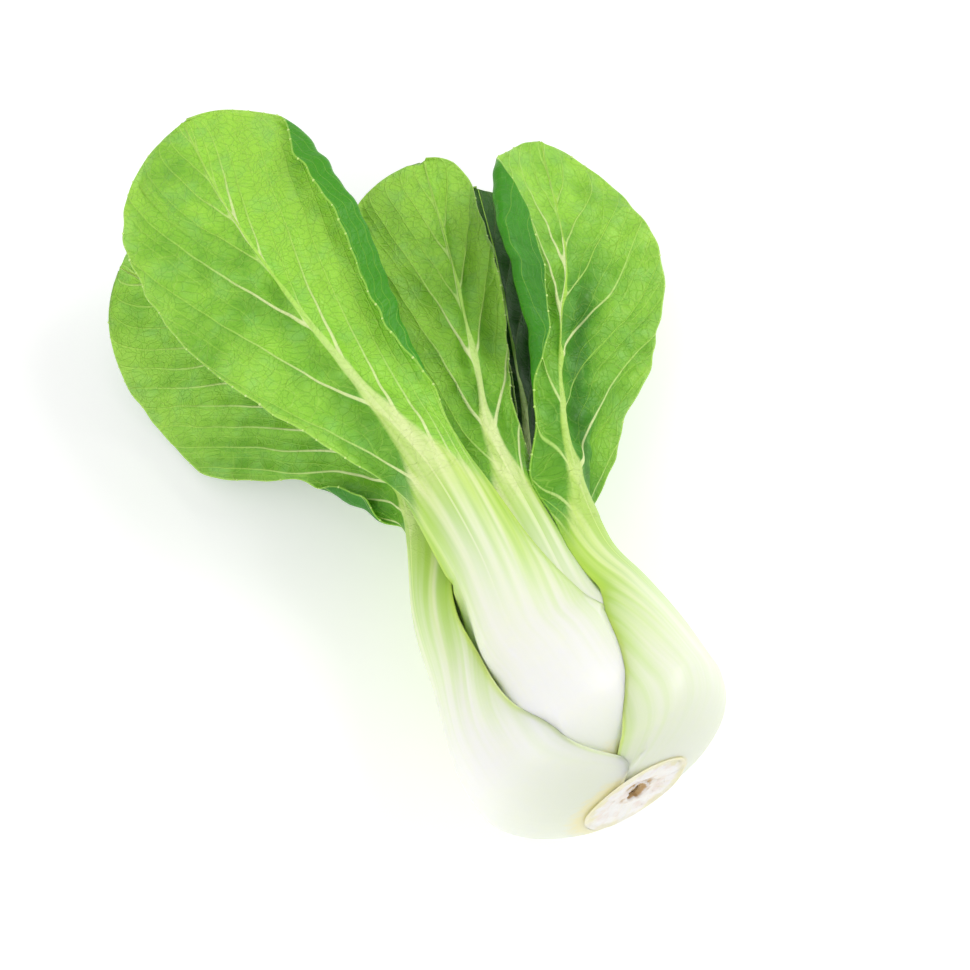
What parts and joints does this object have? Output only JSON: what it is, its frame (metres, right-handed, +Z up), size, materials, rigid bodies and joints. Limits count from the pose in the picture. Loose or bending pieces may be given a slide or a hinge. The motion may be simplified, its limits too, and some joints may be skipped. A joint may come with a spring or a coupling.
{
  "type": "shanghai bok choy",
  "caption": "A head of Shanghai bok choy lying on its side: thick pale stalks wrapped into a bulb at the cut base, spreading into soft green blades with pale midribs.",
  "frame": {"origin": "on the surface that the head lies on, at the flat spot under the widest place of its bulb", "axes": "+Y along the head from the cut base to the leaf tips, +Z up from the surface, +X to the right seen from above with the tips pointing away"},
  "size_m": [0.1476, 0.2164, 0.0693],
  "materials": {
    "stalk": "smooth, slightly waxy, white at the bulb and yellow-green at the neck",
    "blade": "soft satin green with paler veins",
    "stem": "dull, whitish cut with a tan hollow"
  },
  "bodies": {
    "root": {"stem_base": "stem", "leaf_01_stalk": "stalk", "leaf_01_blade": "blade", "leaf_02_stalk": "stalk", "leaf_02_blade": "blade", "leaf_03_stalk": "stalk", "leaf_03_blade": "blade", "leaf_04_stalk": "stalk", "leaf_04_blade": "blade", "leaf_05_stalk": "stalk", "leaf_05_blade": "blade", "leaf_06_stalk": "stalk", "leaf_06_blade": "blade", "leaf_07_stalk": "stalk", "leaf_07_blade": "blade", "leaf_08_stalk": "stalk", "leaf_08_blade": "blade", "leaf_09_stalk": "stalk", "leaf_09_blade": "blade", "leaf_10_stalk": "stalk", "leaf_10_blade": "blade", "leaf_11_stalk": "stalk", "leaf_11_blade": "blade"}
  },
  "joints": []
}
